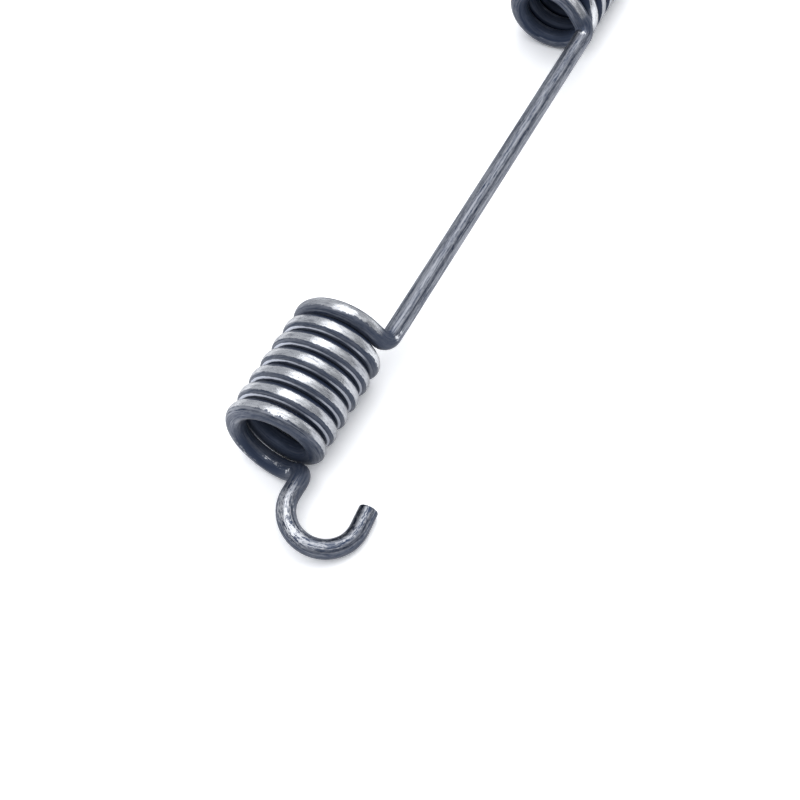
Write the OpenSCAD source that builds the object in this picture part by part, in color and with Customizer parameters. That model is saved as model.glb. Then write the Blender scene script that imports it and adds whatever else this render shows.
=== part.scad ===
// Double-coil return spring, bent from one round wire.
// Two close-wound coils of opposite hand lie on one axis, joined by a straight
// link that runs beside them. The outer end of each coil turns out into an open
// hook. X runs along the coils, and coils and hooks rest on the plane Z = 0.
// Angles round a coil are counted from +Y over the top.

/* [Wire] */
// Diameter of the round wire
wire_d = 3; // [2:0.1:4]
// Inside radius of the four sharp bends, at the hooks and at the link
bend_r = 0.4; // [0.2:0.1:2]
// Chamfer round each sheared end of the wire
tip_chamfer = 0.2; // [0.1:0.05:0.5]

/* [Coils] */
// Outside diameter of both coils
coil_od = 15.4; // [12:0.2:24]
// Whole turns of each coil, before the part turn that ends at the link
coil_turns = 6; // [2:1:12]
// Clear gap between neighbouring turns
turn_gap = 0.2; // [0.1:0.05:1.5]
// How far the part turn at the hook opens from its neighbour
hook_flare = 0.25; // [0:0.05:1]
// How far the part turn at the link opens from its neighbour
link_flare = 0.1; // [0:0.05:1]

/* [Link] */
// Length of the link between the corners of its two bends
link_len = 70.5; // [20:1:150]
// Straight run of wire from a coil to the link's bend
link_lead = 2.1; // [0.2:0.1:5]
// Where the link lies round the coils' axis
link_angle = 175; // [150:1:200]

/* [Hooks] */
// Clear diameter inside each hook
hook_d = 8; // [5:0.5:12]
// How far round each hook is bent
hook_turn = 185; // [180:1:220]
// Straight end of the wire after the round of the hook
hook_tip = 3.3; // [1:0.5:8]
// Straight neck from the hook's bend to its round
hook_neck = 1.8; // [0.2:0.1:8]
// Straight run of wire from a coil to the hook's bend
hook_lead = 0.2; // [0.1:0.1:4]
// How far past +Y, under the coil, the wire leaves it for the hook
hook_angle = 133; // [100:1:150]

/* [Hidden] */

wire_sides = 12;                        // faces round the wire
arc_step = 12;                          // degrees from ring to ring
bend_steps = 8;                         // rings in a sharp bend
flare_arc = 216;                        // degrees over which a coil's end opens

wire_r = wire_d / 2;
coil_r = coil_od / 2 - wire_r;          // to the centre of the wire
hook_r = hook_d / 2 + wire_r;           // to the centre of the wire
corner_r = bend_r + wire_r;             // to the centre of the wire
pitch = wire_d + turn_gap;

along = [1, 0, 0];

// The wire leaves the ends of a coil at these slopes and turns to run along X
function end_slope(flare) = atan((pitch / 360 + 2 * flare / flare_arc) * 180 / PI / coil_r);
function corner_reach(slope) = corner_r * tan((90 - slope) / 2);
hook_slope = end_slope(hook_flare);
link_slope = end_slope(link_flare);
hook_run = hook_lead + corner_reach(hook_slope);
link_run = link_lead + corner_reach(link_slope);
coil_start = -hook_angle;
coil_end = 360 * coil_turns + link_angle - atan(link_run * cos(link_slope) / coil_r);

// Centre line of the first coil, with its axis on X
function past(x) = pow(max(0, x) / flare_arc, 2);
function coil_advance(a) = pitch * a / 360
    + link_flare * past(a - coil_end + flare_arc) - hook_flare * past(coil_start + flare_arc - a);
function coil_point(a) = [coil_advance(a), coil_r * cos(a), coil_r * sin(a)];
function direction(a, slope) = [sin(slope), -cos(slope) * sin(a), cos(slope) * cos(a)];

// Arc that turns the wire at a corner from direction t1 to direction t2
function unit(v) = v / norm(v);
function bend(corner, t1, t2) =
    let (turn = acos(t1 * t2))
    let (side = unit(t2 - (t1 * t2) * t1))
    let (centre = corner - corner_r * tan(turn / 2) * t1 + corner_r * side)
    [for (s = [0 : bend_steps]) let (w = turn * s / bend_steps)
        centre + corner_r * (sin(w) * t1 - cos(w) * side)];

// The hook leans down from its neck until its round lies level with the coils
hook_in = direction(coil_start, hook_slope);
hook_corner = coil_point(coil_start) - hook_run * hook_in;
hook_lean = asin((hook_corner.z + coil_r) / (2 * hook_r));
hook_out = [0, -cos(hook_lean), -sin(hook_lean)];
hook_bend = bend(hook_corner, -hook_in, -along);
hook_centre = hook_bend[bend_steps] - hook_neck * along + hook_r * hook_out;
hook_rings = ceil(hook_turn / arc_step);
hook_round = [for (i = [0 : hook_rings]) let (w = hook_turn * i / hook_rings)
    hook_centre - hook_r * (cos(w) * hook_out + sin(w) * along)];
tip_direction = sin(hook_turn) * hook_out - cos(hook_turn) * along;
hook_end = [for (s = [hook_tip - tip_chamfer, hook_tip]) hook_round[hook_rings] + s * tip_direction];

coil_rings = ceil((coil_end - coil_start) / arc_step);
coil_line = [for (i = [0 : coil_rings])
    coil_point(coil_start + (coil_end - coil_start) * i / coil_rings)];

link_in = direction(coil_end, link_slope);
link_corner = coil_point(coil_end) + link_run * link_in;
link_bend = bend(link_corner, link_in, along);

// Half the wire, from a hook's tip to the link, and its mirror image in X = 0
function backwards(list) = [for (i = [len(list) - 1 : -1 : 0]) list[i]];
half_wire = concat(backwards(concat(hook_bend, hook_round, hook_end)), coil_line, link_bend);
y_middle = (coil_od / 2 + hook_corner.y - 2 * hook_r * cos(hook_lean) - wire_r) / 2;
centring = [-link_corner.x - link_len / 2, -y_middle, coil_od / 2];
left_half = [for (p = half_wire) p + centring];
right_half = [for (p = backwards(left_half)) [-p.x, p.y, p.z]];
wire_line = concat(left_half, right_half);

// Round wire swept along a line, with rings carried from point to point untwisted
function directions(line) = [for (i = [0 : len(line) - 1])
    unit(line[min(i + 1, len(line) - 1)] - line[max(i - 1, 0)])];
function square_to(v, t) = unit(v - (v * t) * t);
function ring_normals(t) = [for (i = 0, n = square_to([0, 0, 1], t[0]); i < len(t);
    i = i + 1, n = square_to(n, t[min(i, len(t) - 1)])) n];

module wire(line) {
    t = directions(line);
    n = ring_normals(t);
    last = len(line) - 1;
    points = [for (i = [0 : last]) let (r = (i == 0 || i == last) ? wire_r - tip_chamfer : wire_r)
        for (k = [0 : wire_sides - 1]) let (w = 360 * k / wire_sides)
            line[i] + r * (cos(w) * n[i] + sin(w) * cross(t[i], n[i]))];
    skin = [for (i = [0 : last - 1], k = [0 : wire_sides - 1])
        let (a = i * wire_sides + k, b = i * wire_sides + (k + 1) % wire_sides)
        each [[a, b + wire_sides, b], [a, a + wire_sides, b + wire_sides]]];
    far = last * wire_sides;
    caps = [for (k = [1 : wire_sides - 2]) each [[0, k, k + 1], [far, far + k + 1, far + k]]];
    polyhedron(points, concat(skin, caps));
}

module spring() {
    color([0.36, 0.38, 0.42]) wire(wire_line);
}

spring();
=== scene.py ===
import bisect
import math

import bmesh
import bpy
from mathutils import Euler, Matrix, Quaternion, Vector


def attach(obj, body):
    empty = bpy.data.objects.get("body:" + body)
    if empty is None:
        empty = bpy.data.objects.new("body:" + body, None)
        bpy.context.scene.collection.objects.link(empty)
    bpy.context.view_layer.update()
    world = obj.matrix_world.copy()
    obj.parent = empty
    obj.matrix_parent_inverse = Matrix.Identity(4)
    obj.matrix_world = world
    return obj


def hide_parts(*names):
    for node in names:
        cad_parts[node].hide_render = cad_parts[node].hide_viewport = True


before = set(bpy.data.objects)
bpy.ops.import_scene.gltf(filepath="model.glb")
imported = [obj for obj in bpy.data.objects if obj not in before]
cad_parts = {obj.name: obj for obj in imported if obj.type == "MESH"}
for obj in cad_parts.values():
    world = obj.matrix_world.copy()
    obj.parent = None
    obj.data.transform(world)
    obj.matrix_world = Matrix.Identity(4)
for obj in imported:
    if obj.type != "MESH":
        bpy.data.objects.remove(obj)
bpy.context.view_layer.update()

MM = 0.001
CM = 0.01

# ---------------------------------------------------------------------------
# Sizes of the spring, as in the part's source, but with HOOK_FLARE a little less
# ---------------------------------------------------------------------------
WIRE_D = 3.0 * MM
BEND_R = 0.4 * MM
TIP_CHAMFER = 0.2 * MM
COIL_OD = 15.4 * MM
COIL_TURNS = 6
TURN_GAP = 0.2 * MM
HOOK_FLARE = 0.2 * MM
LINK_FLARE = 0.1 * MM
LINK_LEN = 70.5 * MM
LINK_LEAD = 2.1 * MM
LINK_ANGLE = math.radians(175)
HOOK_D = 8.0 * MM
HOOK_TURN = math.radians(185)
HOOK_TIP = 3.3 * MM
HOOK_NECK = 1.8 * MM
HOOK_LEAD = 0.2 * MM
HOOK_ANGLE = math.radians(133)

# Steps of the wire's centre line
COIL_STEP = math.radians(3)
BEND_STEPS = 24
FLARE_ARC = math.radians(216)

# Sizes that follow from the others
WIRE_R = WIRE_D / 2
COIL_R = COIL_OD / 2 - WIRE_R
HOOK_R = HOOK_D / 2 + WIRE_R
CORNER_R = BEND_R + WIRE_R
PITCH = WIRE_D + TURN_GAP
FULL_TURN = 2 * math.pi
DEGREES_ROUND = 360
ALONG = Vector((1, 0, 0))


def end_slope(flare):
    return math.atan((PITCH / FULL_TURN + 2 * flare / FLARE_ARC) / COIL_R)


def corner_reach(slope):
    return CORNER_R * math.tan((math.pi / 2 - slope) / 2)


HOOK_SLOPE = end_slope(HOOK_FLARE)
LINK_SLOPE = end_slope(LINK_FLARE)
HOOK_RUN = HOOK_LEAD + corner_reach(HOOK_SLOPE)
LINK_RUN = LINK_LEAD + corner_reach(LINK_SLOPE)
COIL_START = -HOOK_ANGLE
COIL_END = FULL_TURN * COIL_TURNS + LINK_ANGLE - math.atan(LINK_RUN * math.cos(LINK_SLOPE) / COIL_R)


# ---------------------------------------------------------------------------
# Centre line of the wire
# ---------------------------------------------------------------------------
def past(angle):
    return (max(0, angle) / FLARE_ARC) ** 2


def coil_point(angle):
    link_flare = LINK_FLARE * past(angle - COIL_END + FLARE_ARC)
    hook_flare = HOOK_FLARE * past(COIL_START + FLARE_ARC - angle)
    advance = PITCH * angle / FULL_TURN + (link_flare - hook_flare)
    return Vector((advance, COIL_R * math.cos(angle), COIL_R * math.sin(angle)))


def direction(angle, slope):
    round_axis = math.cos(slope)
    return Vector((math.sin(slope), -round_axis * math.sin(angle), round_axis * math.cos(angle)))


def bend(corner, arriving, leaving):
    """Points of a tight bend at a corner, from one straight direction to another."""
    cos_turn = arriving.dot(leaving)
    turn = math.acos(cos_turn)
    side = (leaving - cos_turn * arriving).normalized()
    centre = corner - CORNER_R * math.tan(turn / 2) * arriving + CORNER_R * side
    turned = [turn * step / BEND_STEPS for step in range(BEND_STEPS + 1)]
    return [centre + CORNER_R * (math.sin(w) * arriving - math.cos(w) * side) for w in turned]


def evenly(start, end, step):
    """Angles from start to end, both included, at equal steps no longer than step."""
    count = math.ceil((end - start) / step)
    return [start + (end - start) * i / count for i in range(count + 1)]


def half_wire():
    """The left half of the wire, from the hook's tip to the start of the link, and where its coil is."""
    hook_in = direction(COIL_START, HOOK_SLOPE)
    hook_corner = coil_point(COIL_START) - HOOK_RUN * hook_in
    hook_lean = math.asin((hook_corner.z + COIL_R) / (2 * HOOK_R))
    hook_out = Vector((0, -math.cos(hook_lean), -math.sin(hook_lean)))
    hook_bend = bend(hook_corner, -hook_in, -ALONG)
    hook_centre = hook_bend[-1] - HOOK_NECK * ALONG + HOOK_R * hook_out
    hook_round = [
        hook_centre - HOOK_R * (math.cos(w) * hook_out + math.sin(w) * ALONG)
        for w in evenly(0, HOOK_TURN, COIL_STEP)
    ]
    tip_direction = math.sin(HOOK_TURN) * hook_out - math.cos(HOOK_TURN) * ALONG
    hook_end = [hook_round[-1] + HOOK_TIP * tip_direction]

    link_in = direction(COIL_END, LINK_SLOPE)
    link_corner = coil_point(COIL_END) + LINK_RUN * link_in
    hook_line = list(reversed(hook_bend + hook_round + hook_end))
    coil_line = [coil_point(a) for a in evenly(COIL_START, COIL_END, COIL_STEP)]
    line = hook_line + coil_line + bend(link_corner, link_in, ALONG)

    y_middle = (COIL_OD / 2 + hook_corner.y - 2 * HOOK_R * math.cos(hook_lean) - WIRE_R) / 2
    centring = Vector((-link_corner.x - LINK_LEN / 2, -y_middle, COIL_OD / 2))
    coil_span = (len(hook_line), len(hook_line) + len(coil_line) - 1)
    return [point + centring for point in line], centring, coil_span


left_half, coil_axis, coil_span = half_wire()
right_half = [Vector((-point.x, point.y, point.z)) for point in reversed(left_half)]
wire_line = left_half + right_half
line_lengths = [0.0]
for a, b in zip(wire_line, wire_line[1:]):
    line_lengths.append(line_lengths[-1] + (b - a).length)
wire_length = line_lengths[-1]
coil_from, coil_to = [line_lengths[i] for i in coil_span]

# ---------------------------------------------------------------------------
# The wire: a straight blank, bent along the centre line
# ---------------------------------------------------------------------------
WIRE_SIDES = 40
COIL_FAIR = 0.005 * MM
HOOK_FAIR = 0.025 * MM
FAIR_OVER = 3.0 * MM
CHAMFER_STEPS = 3
FIRST_CUTS = 43
SECOND_CUTS = 43
NEARLY = 0.01 * MM
SMOOTH_UP_TO = math.radians(50)


def ramp(value, start, length):
    """0 at start, 1 at a length past it, and straight between them."""
    return min(1, max(0, (value - start) / length))


def thickness_at(distance):
    """The wire's thickness at a distance along it, as a share of the whole: a little less at the hooks."""
    in_coil = ramp(min(distance, wire_length - distance), coil_from - FAIR_OVER, FAIR_OVER)
    return 1 - (HOOK_FAIR + (COIL_FAIR - HOOK_FAIR) * in_coil) / WIRE_R


def edit(piece, act):
    """Runs act on the piece's mesh in edit mode."""
    bpy.context.view_layer.objects.active = piece
    bpy.ops.object.mode_set(mode="EDIT")
    act(piece)
    bpy.ops.object.mode_set(mode="OBJECT")


def select_edges(piece, wanted):
    """Selects the edges whose two ends satisfy wanted, and nothing else."""
    bpy.ops.mesh.select_mode(type="EDGE")
    bpy.ops.mesh.select_all(action="DESELECT")
    mesh = bmesh.from_edit_mesh(piece.data)
    for edge in mesh.edges:
        edge.select_set(wanted(*[corner.co for corner in edge.verts]))
    bmesh.update_edit_mesh(piece.data)


def on_an_end(a, b):
    return abs(a.x - b.x) < NEARLY and (a.x < NEARLY or a.x > wire_length - NEARLY)


def lengthwise(a, b):
    return abs(a.y - b.y) < NEARLY and abs(a.z - b.z) < NEARLY and abs(a.x - b.x) > TIP_CHAMFER


def shape_blank(piece):
    select_edges(piece, on_an_end)
    bpy.ops.mesh.bevel(offset=TIP_CHAMFER, segments=CHAMFER_STEPS)
    for cuts in (FIRST_CUTS, SECOND_CUTS):
        select_edges(piece, lengthwise)
        bpy.ops.mesh.subdivide(number_cuts=cuts)


bpy.ops.object.select_all(action="DESELECT")
bpy.ops.mesh.primitive_cylinder_add(
    vertices=WIRE_SIDES,
    radius=WIRE_R,
    depth=wire_length,
    location=(wire_length / 2, 0, 0),
    rotation=(0, math.pi / 2, 0),
)
wire = bpy.context.active_object
wire.name = "return_spring_wire"
bpy.ops.object.transform_apply(location=True, rotation=True, scale=True)
edit(wire, shape_blank)

# Each point keeps its place on the straight wire, so that the drawing lines follow the bends
straight_places = [vertex.co.copy() for vertex in wire.data.vertices]
straight = wire.data.attributes.new("straight", "FLOAT_VECTOR", "POINT")
straight.data.foreach_set("vector", [value for place in straight_places for value in place])

path_data = bpy.data.curves.new("bending_path", "CURVE")
path_data.dimensions = "3D"
path_data.twist_mode = "MINIMUM"
path_data.use_radius = True
spline = path_data.splines.new("POLY")
spline.points.add(len(wire_line) - 1)
spline.points.foreach_set("co", [value for point in wire_line for value in (*point, 1)])
spline.points.foreach_set("radius", [thickness_at(distance) for distance in line_lengths])
path = bpy.data.objects.new("bending_path", path_data)
bpy.context.scene.collection.objects.link(path)

bending = wire.modifiers.new("bending", "CURVE")
bending.object = path
bending.deform_axis = "POS_X"
bpy.ops.object.modifier_apply(modifier=bending.name)
bpy.data.objects.remove(path)
bpy.ops.object.shade_smooth_by_angle(angle=SMOOTH_UP_TO)

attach(wire, "root")
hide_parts("spring")

# ---------------------------------------------------------------------------
# Wear and painted light and shade: where each point of the surface lies, and how dark or bright the wire is
# there
# ---------------------------------------------------------------------------
ONE_TURN = FULL_TURN * COIL_R
RAMP = 1.5 * MM
HOOK_FROM = 6.0 * MM
HOOK_RAMP = 3.5 * MM
LINK_FROM = 4.0 * MM

# Tones: 0 is dark oxide and 1 bare drawn steel. Below 0 the colour goes deeper, to -1: darker oxide, and
# painted shade in the grooves between turns and under the first turn.
LINK_TONE = 0.64
HOOK_TONE = 0.42
# The bends are dark: at the hook's neck, under the coil's mouth, this is painted shade
BEND_PAINTED_SHADE_TONE = 0.10
# Share of a hook's tone that its sides have: painted shade on the sides, and painted light on the side that
# faces up
HOOK_SIDE_PAINTED_SHADE = 0.25
# Where the dark line lies round the link, from its top
LINE_AT = math.radians(-40)
# How brightly a hook's upper side is rubbed, at distances in millimetres from the wire's end
HOOK_SHOWS = [(0, 0.50), (6, 0.50), (12, 0.48), (14.5, 0.88), (18.5, 0.88), (21, 0.55)]

# The tables that follow give a value at angles in degrees. Those that aren't tones go round the
# coil, from +Y over the top, and start and end on one value.
# Edges of the rubbed band, at angles round the wire's section from its outermost line
CREST_NEAR = [
    (-180, -19), (-20, -24), (42, -24), (67, -27), (92, -28), (122, -24.5), (152, -20.5), (180, -19),
]
CREST_FAR = [
    (-180, 30), (-20, 30), (42, 27), (52, 20), (67, 11), (80, 16), (92, 20), (122, 20), (152, 27), (180, 30),
]
# How far the band lies over towards the coil's middle on the first turn
CREST_LEANS = [(-180, 12), (-20, 2), (42, 5), (67, 4), (92, 8), (122, 9), (152, 11), (180, 12)]
# How bright the rubbed band is round the coil, dimmer below the axis and towards -Y, and how bright on the
# turn beside the link
CREST_SHOWS = [(-180, 0.68), (-20, 0.9), (40, 1.0), (62, 1.0), (135, 1.0), (150, 0.68), (180, 0.68)]
LAST_CREST_SHOWS = [(-180, 1.0), (-150, 0.0), (20, 0.0), (48, 0.12), (75, 1.0), (180, 1.0)]
# Where the strip is that has touched the next turn, and how bright it is
CONTACT_AT = [
    (-180, -53), (-140, -56), (42, -56.5), (67, -59), (92, -60.5), (122, -59.5), (152, -54), (180, -53),
]
CONTACT_SHOWS = [
    (-180, 0.9), (-140, 0.7), (20, 1.0), (42, 1.0), (67, 0.78), (92, 0.58), (117, 0.20), (127, 0.20),
    (150, 0.90), (180, 0.90),
]
# How many times its usual width the strip has
CONTACT_WIDENS = [
    (-180, 1.25), (-140, 1.0), (20, 1.35), (45, 1.3), (67, 1.0), (122, 1.0), (152, 1.25), (180, 1.25),
]
# Tone of a coil's wire at angles round its section, from the inside over the crest. Below 0, on the far
# flank, it is painted shade in the groove between turns
FLANK_TONES = [
    (-180, 0.03), (-104, 0.04), (-92, 0.15), (-68, 0.13), (-60, 0.14), (-50, 0.17), (-34, 0.19),
    (-26, 0.40), (14, 0.60), (26, 0.0), (36, -1.0), (100, -1.0), (120, 0.03), (180, 0.03),
]
# The same on the open face of a coil's first turn
OPEN_FACE_TONES = [
    (-270, 0.03), (-200, 0.10), (-150, 0.13), (-112, 0.34), (-96, 0.24), (-80, 0.14), (-60, 0.14),
    (-50, 0.24), (-42, 0.42), (-26, 0.55),
]
# The same on the outer side of the turn beside the link
LAST_FACE_TONES = [(-180, 0.03), (10, 0.46), (18, 0.52), (30, 0.38), (70, 0.34), (110, 0.3), (180, 0.03)]
# Painted light and shade on the inner half of the open face: how many times its tone it has round the coil.
# Above 1 it is a painted highlight on the upper inner rim, below 1 painted shade on the lower part, and
# below 0 the deeper dark as painted shade under the turn
OPEN_FACE_PAINTED_LIGHT_AND_SHADE = [
    (-180, 0.5), (-140, 0.4), (-105, 0.0), (-85, -0.35), (-35, -0.25), (-12, 0.2), (3, 0.6), (15, 1.0),
    (30, 1.9), (60, 2.5), (130, 3.0), (150, 1.1), (165, 0.8), (180, 0.5),
]
# How many times its tone the outer side of the turn beside the link has
LAST_FACE_SHOWS = [(-180, 0.7), (-140, 0.6), (45, 0.6), (70, 0.8), (92, 1.3), (118, 0.7), (180, 0.7)]
# How far the band lies over on the turn beside the link
LAST_TURN_LEANS = [(-180, 10), (20, -3), (42, -3), (67, 6), (92, 2), (122, 11), (152, 10), (180, 10)]

# Where the tables of tone have the band's edges
NEAR_EDGE = -26
FAR_EDGE = 18
# Parts of the section, in degrees: where each starts, and the length over which it sets in
FOLLOWS_NEAR_EDGE = (-50, 24)
FOLLOWS_FAR_EDGE = (12, 12)
# Where a face's painted light sets in
FACE_PAINTED_LIGHT_FROM = (-112, 25)
INNER_HALF = (-165, 20)
# Where the painted shade ends towards the crest, and where the painted light ends
PAINTED_SHADE_ENDS = (-102, 12)
PAINTED_LIGHT_ENDS = (-112, 12)
# The open face is outside these two, and the outer side of the last turn between the others
OPEN_FACE_OUTSIDE = (-20, 110)
LAST_FACE_BETWEEN = (0, 110)
# Painted shade and painted light: how much darker a face is painted where it looks away from +Y, and how
# much brighter where it looks towards it
FACE_PAINTED_SHADE = 0.5
FACE_PAINTED_LIGHT = 1.6
FLANK_PAINTED_LIGHT = 0.8
FIRST_TURN_WIDER = 1.35
LAST_TURN_WIDER = 14
# How much less painted light the flank of the turn beside the link has
LAST_TURN_LESS_PAINTED_LIGHT = 0.8
LAST_TURN_STRIP = 0.85

# Bright marks: distance along the wire, direction that they face, length, width, strength
MARKS = [
    (26.0 * MM, (-0.30, 0.60, 0.74), 0.30 * MM, 0.30 * MM, 1.0),
    (26.7 * MM, (-0.52, 0.55, 0.65), 0.22 * MM, 0.25 * MM, 0.9),
    (31.9 * MM, (-0.26, -0.25, 0.93), 1.3 * MM, 0.30 * MM, 0.66),
    (29.8 * MM, (-0.24, 0.08, 0.97), 2.4 * MM, 0.42 * MM, 0.48),
    (35.5 * MM, (-1.0, 0.05, 0.12), 3.0 * MM, 0.60 * MM, 0.48),
    (294.9 * MM, (0.0, -0.82, 0.58), 0.42 * MM, 0.55 * MM, 0.85),
    (296.0 * MM, (0.0, -0.86, 0.50), 0.40 * MM, 0.42 * MM, 0.80),
    (361.9 * MM, (0.0, -0.1, 1.0), 0.5 * MM, 0.6 * MM, 0.8),
]
# How many times its length and width a mark reaches before it has faded out
MARK_REACH = 2
# Where the rubbed band's near edge is torn on the first turn, in degrees round the coil
TORN_AT = 99
TORN_OVER = 21
LAST_TORN = 0.16
DENT_DEPTH = 0.07 * MM


def centre_at(distance):
    """The wire's centre and direction at a distance along it."""
    i = min(len(line_lengths) - 1, max(1, bisect.bisect_left(line_lengths, distance)))
    share = (distance - line_lengths[i - 1]) / (line_lengths[i] - line_lengths[i - 1])
    return wire_line[i - 1].lerp(wire_line[i], share), (wire_line[i] - wire_line[i - 1]).normalized()


def apart(angle, other):
    """The angle between two directions, from 0 to half a turn."""
    return abs((angle - other + math.pi) % FULL_TURN - math.pi)


def stepwise(value, table):
    """Reads a table of (position, value) pairs, with straight lines between them."""
    for (low, at_low), (high, at_high) in zip(table, table[1:]):
        if value <= high:
            return at_low + (at_high - at_low) * (value - low) / (high - low)
    return table[-1][1]


def mark_at(distance, across, forwards):
    """How strongly a point is marked, from 0 to 1."""
    strongest = 0
    for place, facing, length, width, strength in MARKS:
        facing = Vector(facing)
        round_wire = forwards.cross(facing).normalized()
        turned = math.atan2(across.dot(round_wire), across.dot(facing)) * WIRE_R
        off = math.hypot((distance - place) / length, turned / width)
        strongest = max(strongest, strength * (1 - off / MARK_REACH))
    return strongest


def coil_tone(turned, round_coil, edges, leaning, first, last):
    """Tone of a coil's wire at an angle round its section. The tables follow the band's edges. Faces get
    painted shade where they look away from +Y and painted light where they look towards it.
    """
    near, far = edges
    painted_shade, painted_light = FACE_PAINTED_SHADE * max(0, -leaning), max(0, leaning)
    if turned < 0:
        shift = (near - NEAR_EDGE) * ramp(turned, *FOLLOWS_NEAR_EDGE)
    else:
        shift = min(0, far - FAR_EDGE) * ramp(turned, *FOLLOWS_FAR_EDGE)
    flank_painted_light = FLANK_PAINTED_LIGHT * painted_light * (1 - LAST_TURN_LESS_PAINTED_LIGHT * last)
    tone = stepwise(turned - shift, FLANK_TONES) * (1 - painted_shade + flank_painted_light)
    if LAST_FACE_BETWEEN[0] < turned < LAST_FACE_BETWEEN[1]:
        shows = stepwise(round_coil, LAST_FACE_SHOWS)
        face = stepwise(turned, LAST_FACE_TONES) * shows
        tone += (max(tone * shows, face) - tone) * last
    elif not OPEN_FACE_OUTSIDE[0] < turned < OPEN_FACE_OUTSIDE[1]:
        from_crest = turned if turned < 0 else turned - DEGREES_ROUND
        painted_light *= ramp(from_crest, *FACE_PAINTED_LIGHT_FROM)
        painted_light_and_shade = stepwise(round_coil, OPEN_FACE_PAINTED_LIGHT_AND_SHADE)
        ends = PAINTED_SHADE_ENDS if painted_light_and_shade < 1 else PAINTED_LIGHT_ENDS
        painted_light_and_shade = 1 + (painted_light_and_shade - 1) * ramp(from_crest, *INNER_HALF) * (1 - ramp(from_crest, *ends))
        face = stepwise(from_crest - shift, OPEN_FACE_TONES) * (1 - painted_shade + FACE_PAINTED_LIGHT * painted_light) * painted_light_and_shade
        tone += (face - tone) * first
    return tone


def wear_and_painted_light_at(point, place):
    """Four things at a point: how far it is from the places of wear, how much it belongs to the coil,
    hook and link, its look, whose tone holds painted light and shade, and how torn the band's edge is."""
    centre, forwards = centre_at(place.x)
    across = (point - centre).normalized()
    side = 1 if centre.x < 0 else -1
    radial = Vector((0, centre.y - coil_axis.y, centre.z - coil_axis.z))
    turned = math.degrees(math.atan2(across.x * side, across.dot(radial.normalized())))
    round_coil = math.degrees(math.atan2(radial.z, radial.y))

    from_tip = min(place.x, wire_length - place.x)
    hook = 1 - ramp(from_tip, coil_from - HOOK_FROM, HOOK_RAMP)
    link = ramp(from_tip, coil_to + LINK_FROM, RAMP)
    coil = ramp(from_tip, coil_from, RAMP) * (1 - ramp(from_tip, coil_to, RAMP))
    first = 1 - ramp(from_tip, coil_from + ONE_TURN, RAMP)
    last = ramp(from_tip, coil_to - ONE_TURN, RAMP)

    lean = stepwise(round_coil, CREST_LEANS) * first
    near = stepwise(round_coil, CREST_NEAR) + lean + last * stepwise(round_coil, LAST_TURN_LEANS)
    far = stepwise(round_coil, CREST_FAR) + lean * FIRST_TURN_WIDER + last * LAST_TURN_WIDER
    inside = math.radians(min(turned - near, far - turned))
    from_contact = math.radians(abs(turned - stepwise(round_coil, CONTACT_AT)))
    from_contact /= stepwise(round_coil, CONTACT_WIDENS)
    strip = stepwise(round_coil, CONTACT_SHOWS) * (1 - first) * (1 - LAST_TURN_STRIP * last)
    shows = stepwise(round_coil, CREST_SHOWS)
    shows += (stepwise(round_coil, LAST_CREST_SHOWS) - shows) * last

    tone = coil_tone(turned, round_coil, (near, far), radial.y / COIL_R, first, last)
    bends = 1 - max(hook, link, coil)
    # The hook is painted lighter where it faces up and darker on its sides
    hook_painted_tone = HOOK_TONE * (HOOK_SIDE_PAINTED_SHADE + (1 - HOOK_SIDE_PAINTED_SHADE) * max(0, across.z))
    tone = tone * coil + hook_painted_tone * hook + LINK_TONE * link + BEND_PAINTED_SHADE_TONE * bends
    from_mark = math.acos(min(1, max(-1, across.z)))
    if link:
        from_mark = apart(math.atan2(across.y, across.z), LINE_AT)
    look = (tone, mark_at(place.x, across, forwards), strip)
    torn = 0
    if turned < 0:
        torn = max(first * max(0, 1 - abs(round_coil - TORN_AT) / TORN_OVER), last * LAST_TORN)
    hook *= stepwise(min(from_tip / MM, HOOK_SHOWS[-1][0]), HOOK_SHOWS)
    return (inside, from_contact, from_mark), (coil * shows, hook, link), look, torn


wear_and_painted_light_rows = [wear_and_painted_light_at(vertex.co, place) for vertex, place in zip(wire.data.vertices, straight_places)]
for column, name in enumerate(("turned", "part", "look")):
    attribute = wire.data.attributes.new(name, "FLOAT_VECTOR", "POINT")
    attribute.data.foreach_set("vector", [value for row in wear_and_painted_light_rows for value in row[column]])

attribute = wire.data.attributes.new("torn", "FLOAT", "POINT")
attribute.data.foreach_set("value", [row[3] for row in wear_and_painted_light_rows])

# The marks are shallow dents as well
dents = wire.vertex_groups.new(name="dents")
for index, row in enumerate(wear_and_painted_light_rows):
    if row[2][1] > 0:
        dents.add([index], row[2][1] ** 2, "REPLACE")
denting = wire.modifiers.new("denting", "DISPLACE")
denting.vertex_group = dents.name
denting.strength = -DENT_DEPTH
denting.mid_level = 0.0
bpy.context.view_layer.objects.active = wire
bpy.ops.object.modifier_apply(modifier=denting.name)


# ---------------------------------------------------------------------------
# Materials
# ---------------------------------------------------------------------------
class Field:
    """A shader socket. An expression on fields adds the Math nodes that work it out."""

    def __init__(self, shader, socket):
        self.shader = shader
        self.socket = socket

    def maths(self, operation, *values):
        return self.shader.node("Math", {"operation": operation}, dict(enumerate(values)))

    def __add__(self, other):
        return self.maths("ADD", self, other)

    def __sub__(self, other):
        return self.maths("SUBTRACT", self, other)

    def __rsub__(self, other):
        return self.maths("SUBTRACT", other, self)

    def __mul__(self, other):
        return self.maths("MULTIPLY", self, other)

    __radd__ = __add__
    __rmul__ = __mul__

    def at_most(self, other):
        return self.maths("MINIMUM", self, other)

    def at_least(self, other):
        return self.maths("MAXIMUM", self, other)

    def rise(self, low, high):
        """0 below low, 1 above high, and a smooth rise between them."""
        return self.shader.node(
            "MapRange",
            {"interpolation_type": "SMOOTHSTEP"},
            {"Value": self, "From Min": low, "From Max": high},
        )


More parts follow.
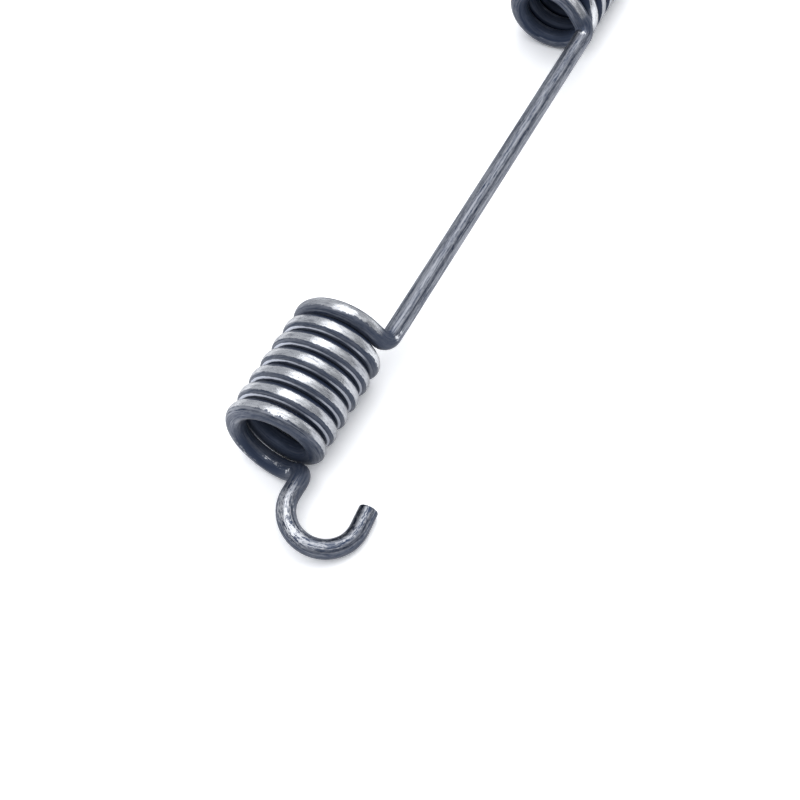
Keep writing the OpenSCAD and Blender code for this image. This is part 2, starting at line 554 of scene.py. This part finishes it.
class Shader:
    """A new material's nodes."""

    MIX_COLOUR = {"Factor": 0, "A": 6, "B": 7}
    MIX_COLOUR_RESULT = 2

    def __init__(self, owner):
        owner.use_nodes = True
        self.tree = owner.node_tree
        self.tree.nodes.clear()

    def node(self, kind, settings=None, inputs=None, output=0):
        """Adds a node, sets it up, fills or links its inputs, and returns one of its outputs."""
        made = self.tree.nodes.new("ShaderNode" + kind)
        for name, value in (settings or {}).items():
            setattr(made, name, value)
        for name, value in (inputs or {}).items():
            if isinstance(value, Field):
                self.tree.links.new(value.socket, made.inputs[name])
            else:
                made.inputs[name].default_value = value
        return Field(self, made.outputs[output]) if len(made.outputs) else None

    def parts_of(self, name):
        """The three parts of a vector attribute."""
        vector = self.node("Attribute", {"attribute_name": name}, output="Vector")
        parts = self.node("SeparateXYZ", {}, {"Vector": vector})
        return [Field(self, socket) for socket in parts.socket.node.outputs]

    def noise(self, where, length, width, detail, roughness, distortion, low, high):
        """Noise whose grains have a length and width in millimetres, spread out between low and high."""
        sizes = (length * MM, width * MM, width * MM)
        stretched = self.node(
            "VectorMath",
            {"operation": "MULTIPLY"},
            {0: where, 1: [1 / size for size in sizes]},
        )
        settings = {"Scale": 1.0, "Detail": detail, "Roughness": roughness, "Distortion": distortion}
        return self.node("TexNoise", {}, {"Vector": stretched, **settings}).rise(low, high)

    def blend(self, factor, low, high):
        return self.node(
            "Mix",
            {"data_type": "RGBA"},
            {
                self.MIX_COLOUR["Factor"]: factor,
                self.MIX_COLOUR["A"]: low,
                self.MIX_COLOUR["B"]: high,
            },
            self.MIX_COLOUR_RESULT,
        )


def grey(value, tint=(1.0, 1.0, 1.0)):
    return (*[value * part for part in tint], 1.0)


CREST_SOFTNESS = math.radians(4)
CREST_RISE = (0.4, 0.6)
CONTACT_HALF_WIDTH = math.radians(5.5)
CONTACT_SOFTNESS = math.radians(5)
CONTACT_RISE = (0.25, 0.75)
CONTACT_RAGGED = 0.4
SPECULAR_LEVEL = 0.15
HOOK_BAND = math.radians(16)
HOOK_SOFTNESS = math.radians(40)
HOOK_LIFT = 0.8
HOOK_RISE = (0.3, 0.8)
HOOK_SHINE = 0.95
HOOK_SHINE_GROWS = 0.1

OXIDE = grey(0.042, (0.72, 1.0, 1.72))
# A deeper dark than the oxide: partly oxide, partly painted shade in the grooves and under the first turn
DEEP_OXIDE_AND_PAINTED_SHADE = grey(0.015, (0.62, 1.0, 2.2))
DRAWN = grey(0.32, (0.955, 0.995, 1.10))
RUBBED = grey(0.62, (0.985, 1.0, 1.03))
SCUFFED = grey(0.90, (0.95, 0.99, 1.10))
BRIGHT = grey(0.90, (0.98, 1.0, 1.03))
GRAZING = grey(0.60)

# Noises: length and width of a grain in millimetres, detail, roughness, distortion, and the two
# values that are spread out to 0 and 1
NOISES = {
    "lines": (14, 0.24, 2, 0.6, 0.0, 0.36, 0.64),
    "wavy": (2.4, 0.18, 3, 0.6, 0.6, 0.36, 0.64),
    "streaks": (5, 0.55, 3, 0.5, 0.5, 0.36, 0.64),
    "mottle": (0.6, 0.26, 4, 0.65, 0.0, 0.36, 0.64),
    "scratches": (5, 0.15, 2, 0.5, 0.3, 0.54, 0.68),
    "patches": (6, 1.4, 2, 0.5, 0.0, 0.34, 0.66),
    "pits": (0.50, 0.32, 2, 0.5, 0.0, 0.65, 0.72),
    "smudges": (1.3, 0.36, 3, 0.5, 0.3, 0.52, 0.70),
    "teeth": (0.36, 0.9, 2, 0.5, 0.0, 0.36, 0.64),
}
MIDDLE = 0.5
# How strongly each noise tells: in the edges of bands, in a hook's flecks, in the edges of marks,
# in the dark wire's grain, in what dulls a rubbed place, in the spots on it, and in the relief
RAGGED = {"mottle": 0.5, "streaks": 0.3, "patches": 0.3}
FLECKS = {"wavy": 0.9, "mottle": 1.5, "patches": 0.9}
MARK_EDGES = {"mottle": 0.3, "wavy": 0.4}
GRAIN = {"lines": 0.30, "wavy": 0.35, "streaks": 0.15, "mottle": 0.20}
DULLING = {"mottle": 0.3, "wavy": 0.35, "patches": 0.35}
SPOTS = {"smudges": 0.30, "pits": 0.4}
RELIEF = {"lines": 0.3, "wavy": 0.4, "streaks": 0.3}

# A torn edge: how far its teeth reach, the noise's value at which there are none, and how much
# of them every edge of the band has
TEETH_REACH = 6.0
TEETH_LEVEL = 0.4
TEETH_ANYWHERE = 0.1
MARK_RISE = (0.42, 0.68)
MARK_STRENGTH = 1.4
# The dark line along the link
LINE_RISE = (0.05, 0.15)
LINE_LEAST = 0.3
LINE_PATCHY = 0.7
LINE_DARKENS = 0.6
# How strongly the grain tells in the tone, and how much more on a hook and less on the link
CONTRAST = 2.8
HOOK_CONTRAST = 1.4
LINK_CONTRAST = 0.3
SCRATCHES_SHOW = 0.09
DULLING_SHARE = 0.44
DULLED_FROM = 0.08
METAL_FROM = 0.1
METAL_RISES = 4.0
METAL_LEAST = 0.2
SCUFFED_METAL = 0.8
ROUGHNESS = 0.36
RUBBED_SMOOTHS = 0.20
STREAKS_ROUGHEN = 0.16
MOTTLE_ROUGHENS = 0.12
SCUFFED_ROUGHENS = 0.15
LINK_ROUGHENS = 0.12
MOTTLE_RELIEF = 0.4
PITS_RELIEF = 0.5
BUMP_STRENGTH = 0.6
BUMP_DEPTH = 0.02 * MM


def mixed(noises, weights, start=0.0, middle=0.0):
    """A start and the weighted sum of some noises, each counted from middle."""
    total = start
    for name, weight in weights.items():
        total = total + (noises[name] - middle) * weight
    return total


def spring_steel():
    """Dark drawn spring wire: fine lines along it, rubbed bright where it has been touched, and painted
    light and shade from its tone.
    """
    material = bpy.data.materials.new("drawn_spring_steel")
    shader = Shader(material)
    where = shader.node("Attribute", {"attribute_name": "straight"}, output="Vector")
    inside, from_contact, from_mark = shader.parts_of("turned")
    coil, hook, link = shader.parts_of("part")
    tone, mark, strip_shows = shader.parts_of("look")
    torn = shader.node("Attribute", {"attribute_name": "torn"}, output="Fac")
    noises = {name: shader.noise(where, *values) for name, values in NOISES.items()}

    ragged = mixed(noises, RAGGED, middle=MIDDLE)
    teeth = (noises["teeth"] - TEETH_LEVEL) * (torn + TEETH_ANYWHERE)
    crest = MIDDLE + inside * (1 / CREST_SOFTNESS) + ragged + teeth * TEETH_REACH
    flecks = mixed(noises, FLECKS, middle=MIDDLE)
    ridge = hook * HOOK_LIFT + (HOOK_BAND - from_mark) * (1 / HOOK_SOFTNESS) + flecks
    rubbed_hook = ridge.rise(*HOOK_RISE) * hook * (hook * HOOK_SHINE_GROWS + HOOK_SHINE)
    rubbed = (crest.rise(*CREST_RISE) * coil + rubbed_hook).at_most(1.0)
    strip = MIDDLE + (CONTACT_HALF_WIDTH - from_contact) * (1 / CONTACT_SOFTNESS) + ragged * CONTACT_RAGGED
    scuffed = strip.rise(*CONTACT_RISE) * coil * strip_shows
    marked = mixed(noises, MARK_EDGES, start=mark, middle=MIDDLE).rise(*MARK_RISE)
    marked = marked * (mark * MARK_STRENGTH).at_most(1.0)
    line = (1.0 - from_mark.rise(*LINE_RISE)) * link * (LINE_LEAST + noises["patches"] * LINE_PATCHY)

    contrast = CONTRAST + hook * HOOK_CONTRAST - link * LINK_CONTRAST
    shade = tone * (1.0 + (mixed(noises, GRAIN) - MIDDLE) * contrast) + noises["scratches"] * SCRATCHES_SHOW
    base = shader.blend(shade * (1.0 - line * LINE_DARKENS), OXIDE, DRAWN)
    # Below 0 the tone goes to the deeper dark: painted shade in the grooves and under the first turn
    base = shader.blend(tone * -1.0, base, DEEP_OXIDE_AND_PAINTED_SHADE)
    base = shader.blend(scuffed, base, SCUFFED)
    dulled = mixed(noises, SPOTS, start=mixed(noises, DULLING) * DULLING_SHARE)
    polish = shader.blend(dulled - DULLED_FROM, RUBBED, OXIDE)
    colour = shader.blend(rubbed, base, polish)
    colour = shader.blend(marked, colour, BRIGHT)
    metal = ((tone - METAL_FROM) * METAL_RISES).at_least(METAL_LEAST) + rubbed + marked
    metal = metal.at_most(1.0) - scuffed * (1.0 - rubbed) * SCUFFED_METAL
    roughness = ROUGHNESS - rubbed * (RUBBED_SMOOTHS - noises["streaks"] * STREAKS_ROUGHEN)
    roughness = roughness + (noises["mottle"] - MIDDLE) * MOTTLE_ROUGHENS
    roughness = roughness + scuffed * SCUFFED_ROUGHENS + link * LINK_ROUGHENS
    height = mixed(noises, RELIEF) + noises["mottle"] * (rubbed * MOTTLE_RELIEF + MOTTLE_RELIEF)
    height = height - noises["pits"] * PITS_RELIEF
    normal = shader.node("Bump", {}, {"Strength": BUMP_STRENGTH, "Distance": BUMP_DEPTH, "Height": height})
    surface = shader.node(
        "BsdfPrincipled",
        {},
        {
            "Base Color": colour,
            "Metallic": metal.at_least(0.0),
            "Roughness": roughness,
            "Specular IOR Level": SPECULAR_LEVEL,
            "Specular Tint": GRAZING,
            "Normal": normal,
        },
    )
    shader.node("OutputMaterial", {}, {"Surface": surface})
    return material


wire.data.materials.clear()
wire.data.materials.append(spring_steel())

# ---------------------------------------------------------------------------
# Floor, light and camera
# ---------------------------------------------------------------------------
FLOOR_SIZE = 6.0
FLOOR_COLOUR = grey(0.8)
FLOOR_SEEN = grey(1.27)
AMBIENT = 0.60
AMBIENT_COLOUR = grey(1.0, (0.96, 0.99, 1.05))
AMBIENT_LEANS = 0.27


def white_floor():
    """A pale matt floor that looks white, directly and in reflections, and keeps the shadow."""
    material = bpy.data.materials.new("white_floor")
    shader = Shader(material)
    seen = (
        shader.node("LightPath", output="Is Camera Ray")
        .at_least(shader.node("LightPath", output="Is Glossy Ray"))
        .at_least(shader.node("LightPath", output="Is Transmission Ray"))
    )
    colour = shader.blend(seen, FLOOR_COLOUR, FLOOR_SEEN)
    both = shader.node("BsdfDiffuse", {}, {"Color": colour})
    shader.node("OutputMaterial", {}, {"Surface": both})
    return material


bpy.ops.object.select_all(action="DESELECT")
bpy.ops.mesh.primitive_plane_add(size=FLOOR_SIZE, location=(0, 0, 0))
floor = bpy.context.active_object
floor.name = "floor"
floor.data.materials.append(white_floor())

world = bpy.data.worlds.new("studio")
bpy.context.scene.world = world
room = Shader(world)
sky = room.node("SeparateXYZ", {}, {"Vector": room.node("TexCoord", output="Generated")}, output="Y")
glow = (1.0 + sky * AMBIENT_LEANS) * AMBIENT
ambient = room.node("Background", {}, {"Color": AMBIENT_COLOUR, "Strength": glow})
room.node("OutputWorld", {}, {"Surface": ambient})


def towards(azimuth, elevation):
    """A unit vector at an azimuth from +X and an elevation above the floor."""
    across = math.cos(elevation)
    return Vector((across * math.cos(azimuth), across * math.sin(azimuth), math.sin(elevation)))


def softbox(name, height, lean_x, lean_y, width, depth, glow):
    """A rectangular lamp above the spring that leans, and looks down at it."""
    data = bpy.data.lights.new(name, "AREA")
    data.shape = "RECTANGLE"
    data.size = width
    data.size_y = depth
    data.energy = glow * math.pi * width * depth
    lamp = bpy.data.objects.new(name, data)
    lean = Euler((math.radians(lean_y), math.radians(lean_x), 0))
    lamp.rotation_euler = lean
    lamp.location = lean.to_matrix() @ Vector((0, 0, height))
    bpy.context.scene.collection.objects.link(lamp)


softbox("overhead_softbox", height=1.0, lean_x=7, lean_y=1.5, width=2.3, depth=0.84, glow=1.78)
softbox("low_softbox", height=1.27, lean_x=7, lean_y=37.5, width=2.3, depth=0.6, glow=0.5)

CAMERA_TARGET = Vector((-42.481, -8.407, 7.7)) * MM
CAMERA_AZIMUTH = math.radians(-143.93)
CAMERA_ELEVATION = math.radians(58.01)
CAMERA_DISTANCE = 207.98 * MM
CAMERA_ROLL = math.radians(8.90)
CAMERA_LENS = 64.768

camera_data = bpy.data.cameras.new("camera")
camera_data.lens = CAMERA_LENS
camera_data.clip_start = CM
camera = bpy.data.objects.new("camera", camera_data)
bpy.context.scene.collection.objects.link(camera)
backwards = towards(CAMERA_AZIMUTH, CAMERA_ELEVATION)
camera.location = CAMERA_TARGET + backwards * CAMERA_DISTANCE
camera.rotation_mode = "QUATERNION"
level = (-backwards).to_track_quat("-Z", "Y")
camera.rotation_quaternion = level @ Quaternion((0, 0, 1), -CAMERA_ROLL)
bpy.context.scene.camera = camera
bpy.context.scene.view_settings.view_transform = "Standard"
